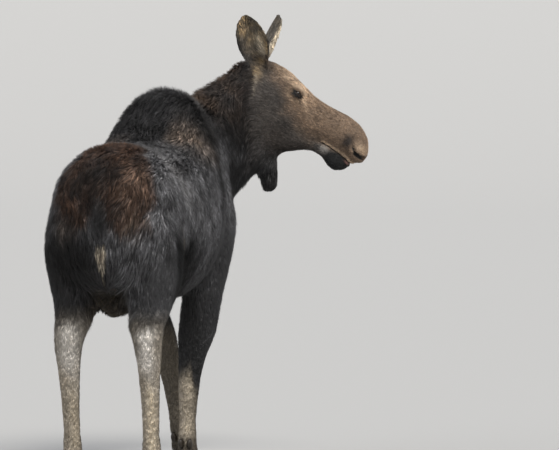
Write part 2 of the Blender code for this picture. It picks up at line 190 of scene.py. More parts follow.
def ring_faces(rows, around, first=0):
    """Triangles between rings of points, each ring following the one before from the first point on."""
    start = first + np.arange(rows - 1)[:, None] * around
    a, b = start + np.arange(around), start + np.roll(np.arange(around), -1)
    return np.stack([a, b, b + around, a, b + around, a + around], 2).reshape(-1, 3)


def arrays(mesh):
    """The vertices and the faces of a mesh whose faces are all of one size."""
    verts = np.zeros(len(mesh.vertices) * 3, np.float32)
    mesh.vertices.foreach_get("co", verts)
    loops = np.zeros(len(mesh.loops), np.int32)
    mesh.loops.foreach_get("vertex_index", loops)
    return verts.reshape(-1, 3).astype(float), loops.reshape(len(mesh.polygons), -1)


def after_modifiers(thing):
    """The arrays of what an object's modifiers give; the object is removed."""
    graph = bpy.context.evaluated_depsgraph_get()
    mesh = bpy.data.meshes.new_from_object(thing.evaluated_get(graph))
    out = arrays(mesh)
    bpy.data.objects.remove(thing, do_unlink=True)
    bpy.data.meshes.remove(mesh)
    return out


def node_copy(name, out):
    """A bmesh of a CAD node, its corners merged and moved outwards."""
    body = bmesh.new()
    body.from_mesh(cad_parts[name].data)
    bmesh.ops.remove_doubles(body, verts=body.verts[:], dist=1e-6)
    body.normal_update()
    shifts = [vert.normal * out for vert in body.verts]
    for vert, shift in zip(body.verts, shifts):
        vert.co += shift
    return body


def as_mesh(body):
    """A mesh of a bmesh, which is freed."""
    mesh = bpy.data.meshes.new("part")
    body.to_mesh(mesh)
    body.free()
    return mesh


def remeshed(body, voxel):
    """A bmesh's arrays after its facets have been turned into small quads."""
    thing = scene_object("whole", as_mesh(body))
    remesh = thing.modifiers.new("remesh", "REMESH")
    remesh.mode = "VOXEL"
    remesh.voxel_size = voxel
    return after_modifiers(thing)


def evened(verts, faces, rounds, share):
    """Vertices smoothed twice over, so that the shape keeps its size."""
    once = spread(verts, faces, rounds, share)
    return once + spread(verts - once, faces, rounds, share)


def edges_of(faces):
    """Each edge once, as one number with a vertex in its upper half and a vertex in its lower half."""
    pairs = np.concatenate([faces[:, [i, (i + 1) % faces.shape[1]]] for i in range(faces.shape[1])])
    pairs.sort(axis=1)
    return np.unique(pairs[:, 0].astype(np.int64) << 32 | pairs[:, 1])


def spread(values, faces, rounds, share):
    """Values at vertices evened out along the edges."""
    keys = edges_of(faces)
    a, b = keys >> 32, keys & 0xFFFFFFFF
    count = len(values)
    degree = (np.bincount(a, minlength=count) + np.bincount(b, minlength=count)).clip(1)[:, None]
    share = np.broadcast_to(share, (count,))[:, None]
    for _ in range(rounds):
        total = np.stack([np.bincount(a, values[b, k], count) + np.bincount(b, values[a, k], count)
                          for k in range(values.shape[1])], 1)
        values = values + share * (total / degree - values)
    return values


def vertex_normals(verts, faces):
    """The way the surface faces at each vertex, its larger faces counting for more."""
    corner = verts[faces]
    face = np.cross(corner[:, 1] - corner[:, 0], corner[:, 2] - corner[:, 0])
    if faces.shape[1] == 4:
        face = np.cross(corner[:, 2] - corner[:, 0], corner[:, 3] - corner[:, 1])
    out = np.zeros_like(verts)
    for k in range(3):
        for i in range(faces.shape[1]):
            out[:, k] += np.bincount(faces[:, i], face[:, k], len(verts))
    return unit(out)


def cad_surface():
    """A search tree over the flesh nodes, and the node that each of its faces belongs to."""
    corners, faces, owner = [], [], []
    start = 0
    for i, name in enumerate(FLESH):
        body = node_copy(name, 0)
        body.verts.index_update()
        corners += [vert.co.copy() for vert in body.verts]
        faces += [[start + vert.index for vert in face.verts] for face in body.faces]
        owner += [i] * len(body.faces)
        start = len(corners)
        body.free()
    return BVHTree.FromPolygons(corners, faces), np.array(owner)


def nodes_of(points, tree, owner):
    """Each point's nearest node."""
    find = tree.find_nearest
    return owner[[find(point)[2] for point in points.tolist()]]


def whole_skin(tree, owner):
    """One closed surface round all the flesh, its facets smoothed away."""
    whole = bmesh.new()
    for name in FLESH:
        mesh = as_mesh(node_copy(name, EAR_SWELL if name.startswith("ear") else SEAM_SWELL))
        whole.from_mesh(mesh)
        bpy.data.meshes.remove(mesh)
    verts, quads = remeshed(whole, VOXEL)
    wanted = np.array(SMOOTHING)[nodes_of(verts, tree, owner)]
    share = spread(wanted[:, None], quads, 12, 0.8)[:, 0] * 0.8
    body = mesh_object("whole", evened(verts, quads, 42, share), quads)
    thin = body.modifiers.new("thin", "DECIMATE")
    thin.ratio = SKIN_TRIANGLES / (2 * len(quads))
    body.modifiers.new("triangles", "TRIANGULATE")
    return after_modifiers(body)


def subdivided(verts, faces, near, rounds):
    """The mesh with its faces split near some places; near(points) gives each point's distance."""
    body = bmesh.new()
    made = mesh_object("split", verts, faces)
    body.from_mesh(made.data)
    bpy.data.objects.remove(made, do_unlink=True)
    for reach in rounds:
        points = np.array([vert.co for vert in body.verts])
        close = near(points) < reach
        body.verts.index_update()
        chosen = [edge for edge in body.edges if all(close[vert.index] for vert in edge.verts)]
        bmesh.ops.subdivide_edges(body, edges=chosen, cuts=1, use_grid_fill=True)
        bmesh.ops.triangulate(body, faces=[face for face in body.faces if len(face.verts) > 3])
    mesh = as_mesh(body)
    out = arrays(mesh)
    bpy.data.meshes.remove(mesh)
    return out


def to_line(along, above, line):
    """The distance, in the head's side view, of points from a bent line."""
    best = np.full(len(along), 9.0)
    for (a0, h0), (a1, h1) in zip(line, line[1:]):
        da, dh = a1 - a0, h1 - h0
        t = np.clip(((along - a0) * da + (above - h0) * dh) / (da * da + dh * dh), 0, 1)
        best = np.minimum(best, np.hypot(along - a0 - t * da, above - h0 - t * dh))
    return best


# The mouth and the nostril as lines in the head's side view, along and above.
MOUTH = ((0.490, -0.124), (0.520, -0.119), (0.560, -0.1165), (0.600, -0.1145), (0.640, -0.117),
         (0.672, -0.122), (0.73, -0.127))
NOSTRIL_SLIT = ((0.604, -0.022), (0.618, -0.037), (0.632, -0.052), (0.658, -0.069))
NOSTRIL_HOLE = ((0.658, -0.069), (0.685, -0.068), (0.708, -0.062))


def face_lines(points):
    """How far points are from the mouth and nostrils."""
    along, above = on_head(points)[:2]
    nostril = to_line(along, above, NOSTRIL_SLIT + NOSTRIL_HOLE[1:])
    return np.minimum(to_line(along, above, MOUTH), nostril) + 0.3 * (along < 0.45)


def sculpt_face(verts, faces):
    """Presses the mouth and nostrils into the skin and raises the lips and folds round them."""
    verts, faces = subdivided(verts, faces, face_lines, (0.027, 0.016))
    along, above, out = on_head(verts)
    normals = spread(vertex_normals(verts, faces), faces, 4, 0.7)
    side = smooth(0.012, 0.030, np.abs(out))
    mouth = to_line(along, above, MOUTH)
    slit = to_line(along, above, NOSTRIL_SLIT)
    hole = to_line(along, above, NOSTRIL_HOLE)
    ahead = smooth(0.46, 0.50, along)
    move = -0.0075 * bump(mouth, 0, 0.0038) * ahead
    move += 0.0035 * bump(mouth, 0.011, 0.006) * ahead * smooth(0.60, 0.64, along)
    lower = smooth(0.030, 0.055, -above)
    move += -0.0050 * bump(slit, 0, 0.0045) * side * (0.35 + 0.65 * lower)
    move += -0.0170 * np.exp(-(hole / 0.0085) ** 4) * side
    wing = np.minimum(slit, hole)
    move += 0.0035 * bump(wing, 0.015, 0.006) * side * (along > 0.6)
    return verts + normals * move[:, None], faces


def build_skin():
    """The skin's arrays, lying inside the flesh by the depth of the coat, and the flesh's search tree."""
    tree, owner = cad_surface()
    verts, faces = whole_skin(tree, owner)
    weights = spread(np.eye(len(FLESH))[nodes_of(verts, tree, owner)], faces, 10, 0.8)
    normals = spread(vertex_normals(verts, faces), faces, 3, 0.8)
    swell = weights[:, EAR_RIGHT] + weights[:, EAR_LEFT]
    inset = coat_depth(verts, weights) + SEAM_SWELL + (EAR_SWELL - SEAM_SWELL) * swell
    inset *= smooth(CORONET - 0.005, CORONET + 0.026, verts[:, 2])
    verts = verts - unit(normals) * inset[:, None]
    root, tip_way = ear_axes("right")[:2]
    stretch = EAR_TIP * smooth(0.08, 0.24, (verts - root) @ tip_way) * weights[:, EAR_RIGHT]
    verts += tip_way * stretch[:, None]
    verts[verts[:, 2] < CORONET, 2] -= 0.004
    verts, faces = sculpt_face(verts, faces)
    return verts, faces, tree, owner


def coat_depth(points, weights):
    """How far the coat stands over the skin."""
    up = points[:, 2]
    along = on_head(points)[0]
    body = weights[:, TRUNK] + weights[:, NECK]
    depth = weights @ np.array(DEPTH)
    depth += 0.008 * body * smooth(1.45, 1.62, up)
    depth -= 0.0092 * on_legs(weights) * below(0.50, 0.85, up)
    depth -= 0.0020 * weights[:, HEAD] * smooth(0.45, 0.60, along)
    return depth.clip(0.0015)


# The eyes and their lids.

EYE_RADIUS = 0.0203
CORNEA = 0.0009  # how far the clear front stands over the ball
OPEN_LONG = 0.0190
OPEN_TALL = 0.0088
EYE_SLANT = math.radians(10)
LID_GROWTH = 0.0178  # how far the lids' rings grow for each step of 1 in their scale
LID_RINGS = 22
LID_REACH = 1.55
LID_COUNT = 72  # points round each of the lids' rings
FIT_RADII = (0.030, 0.037, 0.044, 0.051)  # where the skin round the eye is felt for its curve
PATCH_LONG, PATCH_TALL = 0.0455, 0.0385  # half the size of the skin that the lids' sheet covers
IRIS = 0.62  # how far out on the ball the iris goes, as a share of its radius


def eye_frame(side, verts, faces):
    """The eye's axes: towards the nose, up and out of the skin round it."""
    centre = EYES[side]
    sign = 1 if side == "right" else -1
    gap = np.linalg.norm(verts - centre, axis=1)
    ring = (gap > 0.030) & (gap < 0.048)
    normals = vertex_normals(verts, faces)
    facing = unit(normals[ring].mean(0) * 0.65 + OUT * sign * 0.35)
    forward = unit(ALONG - facing * (ALONG @ facing))
    upward = np.cross(facing, forward)
    upward *= np.sign(upward @ ABOVE)
    # The opening slants down towards the nose.
    cos, sin = math.cos(EYE_SLANT), math.sin(EYE_SLANT)
    return centre, forward * cos - upward * sin, upward * cos + forward * sin, facing


def lid_patch(side, verts, faces):
    """The lids and the folds round them, as a sheet of rings from the opening out to the skin."""
    centre, forward, upward, facing = eye_frame(side, verts, faces)
    tree = BVHTree.FromPolygons(verts.tolist(), faces.tolist())

    def height(x, y):
        start = centre + forward * x + upward * y + facing * 0.07
        hit = tree.ray_cast(Vector(start), Vector(-facing), 0.12)
        return float((np.array(hit[0]) - centre) @ facing) if hit[0] else 0.0

    def terms(x, y):
        return np.stack([np.ones_like(x), x, y, x * x, x * y, y * y], 1)

    # A curved sheet fitted to the skin round the eye.
    count = LID_COUNT
    angles = np.arange(count) * math.tau / count
    x = np.concatenate([radius * np.cos(angles[::4]) for radius in FIT_RADII])
    y = np.concatenate([radius * np.sin(angles[::4]) * 0.85 for radius in FIT_RADII])
    fit = np.linalg.lstsq(terms(x, y), np.array([height(u, v) for u, v in zip(x, y)]), rcond=None)[0]

    cos, sin = np.cos(angles), np.sin(angles)
    pinch = 1 - 0.30 * np.abs(cos) ** 3
    tall = np.where(sin > 0, OPEN_TALL, OPEN_TALL * 0.92)
    # Each ring's scale and its lift over the ball: a thick edge to the lid, then out to the skin.
    rows = [(1.00, 0.0002), (1.00, 0.0010), (1.03, 0.0019), (1.09, 0.0024)]
    rows += [(1.09 + LID_REACH * k / LID_RINGS, 0.0024) for k in range(1, LID_RINGS + 1)]
    rings = []
    for k, (scale, lift) in enumerate(rows):
        swell = (scale - 1) * LID_GROWTH
        px = (OPEN_LONG + swell * 1.15) * cos
        py = (tall + swell * 1.05) * sin * np.where(scale < 1.3, pinch + (1 - pinch) * (scale - 1) / 0.3, 1)
        radial = np.hypot(px, py)
        ball = np.sqrt(np.maximum((EYE_RADIUS + lift) ** 2 - radial**2, 0))
        flat = terms(px, py) @ fit
        share = float(smooth(1.12, 2.2, np.array(scale)))
        z = ball * (1 - share) + flat * share
        z = np.where(radial > EYE_RADIUS * 0.9, np.maximum(z, flat * share + (1 - share) * 0.6 * flat), z)
        z = z - 0.0016 * bump(scale, 1.42, 0.07) * np.where(sin > -0.2, 1, 0.55)
        z = z - 0.0010 * bump(scale, 1.78, 0.09) * np.where(sin < 0.1, 0.8, 0.5)
        z = z + 0.0014 * bump(scale, 1.62, 0.10) * (sin > 0)
        # The outermost rings meet the skin, and the last one goes under it.
        edge = len(rows) - 1 - k
        if edge < 5:
            true = np.array([height(u, v) for u, v in zip(px, py)])
            share = (1.0, 1.0, 0.75, 0.5, 0.25)[edge]
            z = z * (1 - share) + true * share + (-0.0025, -0.0002, 0.0004, 0.0004, 0.0004)[edge]
        rings.append(centre + forward * px[:, None] + upward * py[:, None] + facing * z[:, None])
    grid = np.concatenate(rings)
    tris = ring_faces(len(rows), count)
    if (vertex_normals(grid, tris) @ facing).mean() < 0:
        tris = tris[:, ::-1]
    return grid, tris, np.repeat([row[0] for row in rows], count)


def eyeball(side, verts, faces, look):
    """An eyeball with a clear bulge in front, its rings round the pupil."""
    centre, forward, upward, facing = eye_frame(side, verts, faces)
    around, down = 64, 40
    polar = np.repeat(math.pi * (np.arange(1, down) / down) ** 1.25, around)
    angle = np.tile(math.tau * np.arange(around) / around, down - 1)
    radius = EYE_RADIUS + CORNEA * np.cos(np.minimum(polar / IRIS, 1) * math.pi / 2) ** 2
    x, y = np.sin(polar) * np.cos(angle), np.sin(polar) * np.sin(angle)
    ways = np.outer(x, forward) + np.outer(y, upward) + np.outer(np.cos(polar), facing)
    front, back = centre + facing * (EYE_RADIUS + CORNEA), centre - facing * EYE_RADIUS
    points = np.vstack([front, centre + ways * radius[:, None], back])

    iris = np.hypot(x, y) / IRIS
    white = (0.10, 0.075, 0.06)
    ball = Paint((0.030, 0.014, 0.007), len(x))
    ball.colours *= (0.75 + 0.25 * np.sin(angle * 17 + np.sin(angle * 5) * 2))[:, None]
    ball.lay((0.006, 0.004, 0.003), smooth(0.93, 1.0, iris))
    ball.lay(white, smooth(1.02, 1.25, iris))
    ball.lay((0.0015, 0.0015, 0.0015), below(0.9, 1.05, np.hypot(x / 0.34, y / 0.20)))
    colours = np.vstack([(0.002, 0.002, 0.002), ball.colours, white])

    last = len(points) - 1
    fans = [(0, 1 + (i + 1) % around, 1 + i) for i in range(around)]
    fans += [(last, last - around + i, last - around + (i + 1) % around) for i in range(around)]
    tris = np.vstack([fans, ring_faces(down - 1, around, 1)])
    if (vertex_normals(points, tris) * (points - centre)).sum() < 0:
        tris = tris[:, ::-1]
    made = mesh_object("eyeball_" + side, points, tris, True)
    paint(made, colours)
    made.data.materials.append(look)
    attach(made, "root")
    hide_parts("eye_" + side)


def paint(thing, colours):
    """Stores a colour at each vertex."""
    layer = thing.data.color_attributes.new("coat", "FLOAT_COLOR", "POINT")
    full = np.ones((len(colours), 4), np.float32)
    full[:, :3] = colours
    layer.data.foreach_set("color", full.ravel())


# The markings.

INK = (0.005, 0.005, 0.005)
BLACK = (0.011, 0.0105, 0.0105)
CHARCOAL = (0.034, 0.033, 0.034)
SLATE = (0.140, 0.139, 0.145)
PALE_SLATE = (0.200, 0.197, 0.200)
DARK_BROWN = (0.026, 0.018, 0.014)
RED_BROWN = (0.056, 0.031, 0.020)
BROWN = (0.075, 0.052, 0.038)
WARM_BROWN = (0.125, 0.080, 0.057)
TIPPED = (0.190, 0.148, 0.118)
UDDER = (0.022, 0.017, 0.011)
PERINEUM = (0.36, 0.31, 0.24)
TAN = (0.235, 0.162, 0.108)
PALE_TAN = (0.56, 0.41, 0.28)
MUZZLE = (0.185, 0.125, 0.082)
LIP_PINK = (0.26, 0.13, 0.11)
CHEEK = (0.064, 0.056, 0.050)
CREAM = (0.62, 0.53, 0.40)
SILVER = (0.66, 0.62, 0.57)
GREY_TAN = (0.39, 0.335, 0.265)
GREY_BROWN = (0.150, 0.126, 0.094)
OCHRE = (0.36, 0.255, 0.135)


class Paint:
    """Colours at points, over which markings are laid."""

    def __init__(self, base, count):
        self.colours = np.tile(np.array(base), (count, 1))

    def lay(self, colour, share):
        """Covers a share of what is there with a colour, or with a colour for each point."""
        share = np.clip(share, 0, 1)[:, None]
        self.colours = self.colours * (1 - share) + np.array(colour) * share


class Places:
    """Points of the skin, which way they face, and the noise that breaks up the markings there."""

    def __init__(self, points, normals, weights):
        self.points, self.normals, self.weights = points, normals, weights
        self.body, self.head = on_body(points), on_head(points)
        self.broad = noise(points, 0.16, 1)
        self.middle = noise(points, 0.055, 2)
        self.fine = noise(points, 0.018, 3)
        self.wobble = 0.03 * self.broad + 0.015 * self.middle
        self.behind = below(-0.66, -0.56, self.body[1])


def markings(points, normals, weights):
    """The coat's colour at points of the skin."""
    at = Places(points, normals, weights)
    coat = Paint(CHARCOAL, len(points))
    for mark in (mark_flanks, mark_hump, mark_rump, mark_thighs, mark_neck, mark_under_tail, mark_hind_legs,
                 mark_fore_legs, mark_head):
        mark(coat, at)
    mark_ear("right", EAR_RIGHT, coat, at)
    mark_ear("left", EAR_LEFT, coat, at)
    shade = 1 + (0.20 * at.middle + 0.18 * at.fine + 0.08 * at.broad) * (1 - 0.6 * on_legs(weights))
    return np.clip(coat.colours * shade[:, None], 0.004, 1)


def mark_flanks(coat, at):
    """Slate flanks, palest above, with the hollow before the thigh laid near black as painted shade, and
    frosted strands in it.
    """
    right, forward, up = at.body
    wobble, middle = at.wobble, at.middle
    flank = between(up + wobble, 0.98, 1.12, 1.44, 1.53)
    coat.lay(SLATE, flank * (0.80 - 0.18 * below(-0.55, -0.42, forward) + 0.35 * middle))
    high = bump(forward - 0.4 * (1.34 - up), -0.20, 0.15) * bump(up, 1.31, 0.10)
    high *= below(0.45, 0.8, at.normals[:, 2])
    coat.lay(PALE_SLATE, high * (0.85 + 0.35 * middle))
    thigh_edge = -0.53 + 0.25 * (0.95 - up).clip(0)
    # Painted shade: the flank between the thigh and the fore leg is laid near black, where shade falls.
    shaded_hollow = smooth(thigh_edge, thigh_edge + 0.05, forward) * below(-0.09, 0.04, forward + 2 * wobble)
    shaded_hollow *= below(1.02, 1.17, up + 1.5 * wobble) * smooth(0.08, 0.16, np.abs(right))
    coat.lay(INK, shaded_hollow * 0.97)
    belly = below(0.86, 0.98, up + wobble) * (forward > thigh_edge) * below(0.02, 0.12, forward)
    coat.lay(BLACK, belly * 0.8)
    # The right arm's outer side is slate too, and both arms are black within.
    arm = smooth(0.04, 0.16, forward) * below(1.02, 1.15, up) * smooth(0.14, 0.24, right)
    coat.lay(SLATE, arm * (0.42 + 0.12 * smooth(0.70, 0.85, up)))
    coat.lay(BLACK, smooth(0.1, 0.2, forward) * below(0.75, 0.9, up) * (right < 0.16) * 0.6)
    strands = bump(forward + 0.9 * (up - 1.03), -0.24, 0.045) * bump(up, 1.03, 0.09)
    coat.lay(GREY_TAN, strands * smooth(-0.2, 0.25, at.fine) * 0.45 * (right > 0))
    # Black again at the root of the neck.
    band = bump(forward + wobble, 0.41, 0.050) * between(up, 1.10, 1.25, 1.48, 1.56)
    coat.lay(BLACK, band * 0.85)


def mark_hump(coat, at):
    """A near black hump, with pale brown tips across the withers and a black wedge before them."""
    right, forward, up = at.body
    aside = np.abs(right)
    hump = smooth(1.50, 1.60, up + 0.5 * at.wobble) * smooth(0.02, 0.2, forward)
    coat.lay(CHARCOAL, hump)
    coat.lay(BLACK, hump * below(1.62, 1.70, up + at.wobble) * below(0.22, 0.30, forward) * 0.6)
    dip = bump(forward, -0.08, 0.24) * smooth(1.40, 1.47, up) * below(0.12, 0.18, aside)
    coat.lay(BLACK, dip * 0.75)
    strength = np.interp(up, (1.38, 1.44, 1.50, 1.56, 1.62, 1.70), (0.0, 0.65, 1.1, 0.75, 0.40, 0.0))
    strength *= np.where(right > 0, 1.0, 0.7 * below(1.46, 1.54, up))
    withers = bump(forward + at.wobble, 0.285, 0.105) * strength * smooth(0.05, 0.12, aside)
    coat.lay(TIPPED, withers * (0.80 + 0.4 * at.middle))
    wedge = bump(forward + at.wobble, 0.455, 0.045) * between(up, 1.46, 1.52, 1.66, 1.72)
    coat.lay(BLACK, wedge * 0.9)


def mark_rump(coat, at):
    """A red brown rump, black round the tail, its front edge slanting down the flank, with painted light in
    warm brown on its right side.
    """
    right, forward, up = at.body
    wobble, middle = at.wobble, at.middle
    front = np.interp(up, (1.08, 1.20, 1.28, 1.43, 1.48), (-0.72, -0.66, -0.595, -0.47, -0.26))
    low_edge = 1.10 + 0.14 * bump(right, -0.015, 0.055)
    rump = below(-0.03, 0.05, forward - front + 1.5 * wobble)
    rump *= smooth(low_edge - 0.04, low_edge + 0.06, up + 1.6 * wobble + 0.02 * at.fine)
    coat.lay(RED_BROWN, rump * (0.95 + 0.25 * middle))
    # Painted light: the right side of the rump is laid in warm brown, and less black is laid over it there.
    painted_light = smooth(0.03, 0.13, right) * below(1.36, 1.44, up)
    coat.lay(WARM_BROWN, rump * painted_light * (0.60 + 0.4 * middle))
    coat.lay(BLACK, rump * smooth(0.10, 0.75, -at.broad - 0.5 * middle) * (0.75 - 0.35 * painted_light))
    coat.lay(BLACK, rump * bump(right, -0.02, 0.055) * below(1.38, 1.50, up) * 0.75)
    coat.lay(BLACK, rump * below(-0.20, -0.12, right) * 0.45)


def mark_thighs(coat, at):
    """Painted shade behind the left thigh, black above and charcoal below; slate behind the right, tipped
    hair on the pin bones.
    """
    right, forward, up = at.body
    # Painted shade: the left buttock, away from the light, is laid black above and charcoal below.
    shaded_left_half = below(-0.09, 0.03, right)
    buttock = below(-0.56, -0.46, forward) * between(up, 0.70, 0.80, 1.05, 1.14)
    coat.lay(BLACK, buttock * shaded_left_half * smooth(0.86, 0.98, up) * 0.9)
    coat.lay(CHARCOAL, buttock * shaded_left_half * below(0.86, 0.98, up))
    outer = smooth(0.19, 0.24, right) * below(-0.52, -0.44, forward) * below(0.92, 1.02, up)
    coat.lay(SLATE, outer * 0.6)
    darker = bump(right, 0.235, 0.05) * bump(up, 1.11, 0.06)
    coat.lay(SLATE, buttock * smooth(0.0, 0.10, right) * (0.55 - 0.30 * darker + 0.3 * at.middle))
    hip = below(-0.60, -0.48, forward) * below(-0.14, -0.06, right) * below(1.14, 1.22, up)
    coat.lay(BLACK, hip * smooth(0.80, 0.95, up) * 0.75)
    pins = bump(right, 0.140, 0.034) * bump(up + at.wobble, 1.145, 0.045)
    pins += 0.30 * bump(right, -0.168, 0.034) * bump(up + at.wobble, 1.135, 0.045)
    coat.lay(TIPPED, pins * at.behind * (0.55 + 0.7 * at.middle))


def mark_neck(coat, at):
    """A neck brown tipped above, and black below and beside the head."""
    forward, up = at.body[1:]
    neck = at.weights[:, NECK] + at.weights[:, TRUNK] * smooth(0.60, 0.75, forward)
    by_head = below(0.03, 0.12, 0.10 - at.head[0])
    coat.lay(BROWN, neck * smooth(1.50, 1.66, up + at.wobble) * (0.72 - 0.3 * by_head + 0.5 * at.middle))
    coat.lay(CHARCOAL, neck * below(1.38, 1.56, up + at.wobble) * 0.85)
    coat.lay(BLACK, neck * by_head * below(1.55, 1.70, up) * 0.6)


def mark_under_tail(coat, at):
    """The pale patch under the tail, narrowing to a line, and brown between the thighs."""
    right, forward, up = at.body
    wide = np.interp(up, (0.92, 0.95, 0.98, 1.01, 1.035, 1.055, 1.08),
                     (0.003, 0.009, 0.018, 0.026, 0.030, 0.019, 0.004))
    edge = np.abs(right + 0.004) + 0.008 * at.fine + 0.005 * at.middle
    line = below(0.004, 0.010, edge) * between(up, 0.82, 0.86, 0.94, 0.98)
    coat.lay(GREY_BROWN, line * at.behind * 0.5)
    patch = below(wide * 0.6, wide * 1.3, edge) * between(up, 0.91, 0.94, 1.06, 1.085)
    coat.lay(PERINEUM, patch * at.behind * (0.80 + 0.35 * at.fine))
    coat.lay(BROWN, bump(right, -0.002, 0.007) * bump(up, 1.02, 0.018) * at.behind * 0.8)
    coat.lay(UDDER, below(0.055, 0.11, np.abs(right + 0.01)) * below(0.83, 0.90, up) * (forward < -0.2))


def facing_back(at):
    """1 where the skin faces backwards and 0 where it faces forwards."""
    return smooth(-0.45, 0.25, at.normals[:, 1])


def mark_hind_legs(coat, at):
    """Silver behind the hocks, and tan, grey and a cream streak down to the coronets."""
    right, forward, up = at.body
    wobble, middle, rear = at.wobble, at.middle, facing_back(at)
    trunk = at.weights[:, TRUNK] * (up < 0.8) * (forward < -0.2)
    across = right - np.where(right > 0, 0.192, -0.168)  # from the middle of the leg's rear
    shank = Paint(GREY_BROWN, len(up))
    shank.lay(GREY_TAN, rear * below(0.52, 0.60, up + wobble) * (0.75 + 0.2 * middle))
    hock = bump(across + 0.01 * middle, 0.0, 0.046) * smooth(0.46, 0.56, up)
    hock *= below(0.68, 0.76, up + wobble)
    shank.lay(SILVER, hock * rear * 1.15)
    trail = bump(across, 0.012, 0.024) * between(up, 0.36, 0.42, 0.48, 0.56)
    shank.lay(SILVER, trail * rear * 0.35)
    streak = bump(across, 0.004, 0.020) * below(0.40, 0.48, up + wobble) * np.where(right > 0, 1.0, 0.45)
    shank.lay(CREAM, streak * rear)
    shank.lay(BROWN, (1 - rear) * 0.35)
    shank.lay(GREY_TAN, smooth(0.195, 0.230, right) * smooth(0.40, 0.50, up) * 0.55)
    shank.lay(DARK_BROWN, below(0.07, 0.15, up) * 0.7)
    hind = at.weights[:, HIND_LEGS].sum(1) + trunk
    share = hind * below(0.63, 0.79, up + 0.7 * wobble - 0.02 * rear)
    coat.lay(shank.colours * (1 + 0.22 * rear)[:, None], share)


def mark_fore_legs(coat, at):
    """Grey brown fore legs, with a tan and cream tuft behind the right one."""
    right, _, up = at.body
    rear = facing_back(at)
    outer = smooth(0.118, 0.145, right)
    low = below(0.37, 0.49, up + 1.3 * at.wobble + 0.10 * outer - 0.22 * (right < 0))
    tuft = rear * smooth(0.08, 0.16, up) * low * (1 - 0.8 * outer)
    shank = Paint(GREY_BROWN, len(up))
    shank.lay(GREY_TAN, tuft * 0.75 * (right > 0.03))
    shank.lay(CREAM, tuft * bump(right, 0.112, 0.020) * (0.42 + 0.4 * at.middle))
    shank.lay(DARK_BROWN, (1 - rear) * 0.85)
    shank.lay(DARK_BROWN, below(0.07, 0.15, up) * 0.7)
    coat.lay(shank.colours * (1 + 0.20 * rear)[:, None], at.weights[:, FORE_LEGS].sum(1) * low)


def mark_head(coat, at):
    """Tan forehead and bridge, grey cheek and brown muzzle; the bell and tail are black."""
    along, above, out = at.head
    middle, fine = at.middle, at.fine
    face = Paint(TAN, len(out))
    # Paler over the brow and forehead, browner down the bridge and the side of the nose.
    brow = smooth(0.000, 0.030, above + 0.01 * middle) * between(along, 0.08, 0.13, 0.25, 0.37)
    face.lay(PALE_TAN, brow * (0.72 + 0.35 * middle + 0.2 * fine))
    nose = smooth(0.38, 0.50, along + 0.02 * middle) * (1 - smooth(0.0, 0.04, above) * 0.5)
    face.lay(MUZZLE, nose * 0.85)
    # Grey from behind the eye over the cheek to the jaw, brown between it and the nose.
    edge = np.interp(along, (0.08, 0.137, 0.188, 0.273, 0.363, 0.455, 0.60),
                     (0.040, 0.012, -0.018, -0.078, -0.107, -0.127, -0.165))
    gap = above - edge + 0.016 * middle + 0.006 * fine
    face.lay(MUZZLE, below(0.0, 0.085, gap) * 0.75)
    face.lay(CHEEK, below(-0.060, 0.046, gap) * 0.95)
    face.lay(DARK_BROWN, below(-0.200, -0.140, above) * smooth(0.20, 0.34, along) * 0.45)
    # The side of the poll: a yellowish patch behind the cheek and a dark root to the ear.
    face.lay(OCHRE, bump(along, 0.068, 0.030) * bump(above, -0.055, 0.040) * (0.6 + 0.3 * middle))
    face.lay(BLACK, bump(along, 0.105, 0.024) * bump(above, -0.010, 0.018) * 0.55)
    face.lay(OCHRE, bump(along, 0.050, 0.020) * bump(above, 0.014, 0.016) * 0.8)
    back_edge = along + 0.55 * (above + 0.11)
    face.lay(GREY_TAN, bump(back_edge, 0.116, 0.007) * between(above, -0.15, -0.11, -0.055, -0.030) * 0.6)
    mark_muzzle(face, at)
    for side, sign in (("right", 1), ("left", -1)):
        mark_eye(face, at.points - EYES[side], (out * sign > 0) * 1.0)
    # The neck's dark ruff laps over the back of the cheek.
    ruff = below(-0.010, 0.010, back_edge - 0.102 + 0.006 * middle)
    face.lay(DARK_BROWN, ruff * below(-0.055, -0.020, above) * (0.9 + 0.3 * middle))
    coat.lay(face.colours, at.weights[:, HEAD])
    coat.lay(np.array(BLACK) * 1.5, at.weights[:, BELL] + at.weights[:, TAIL])


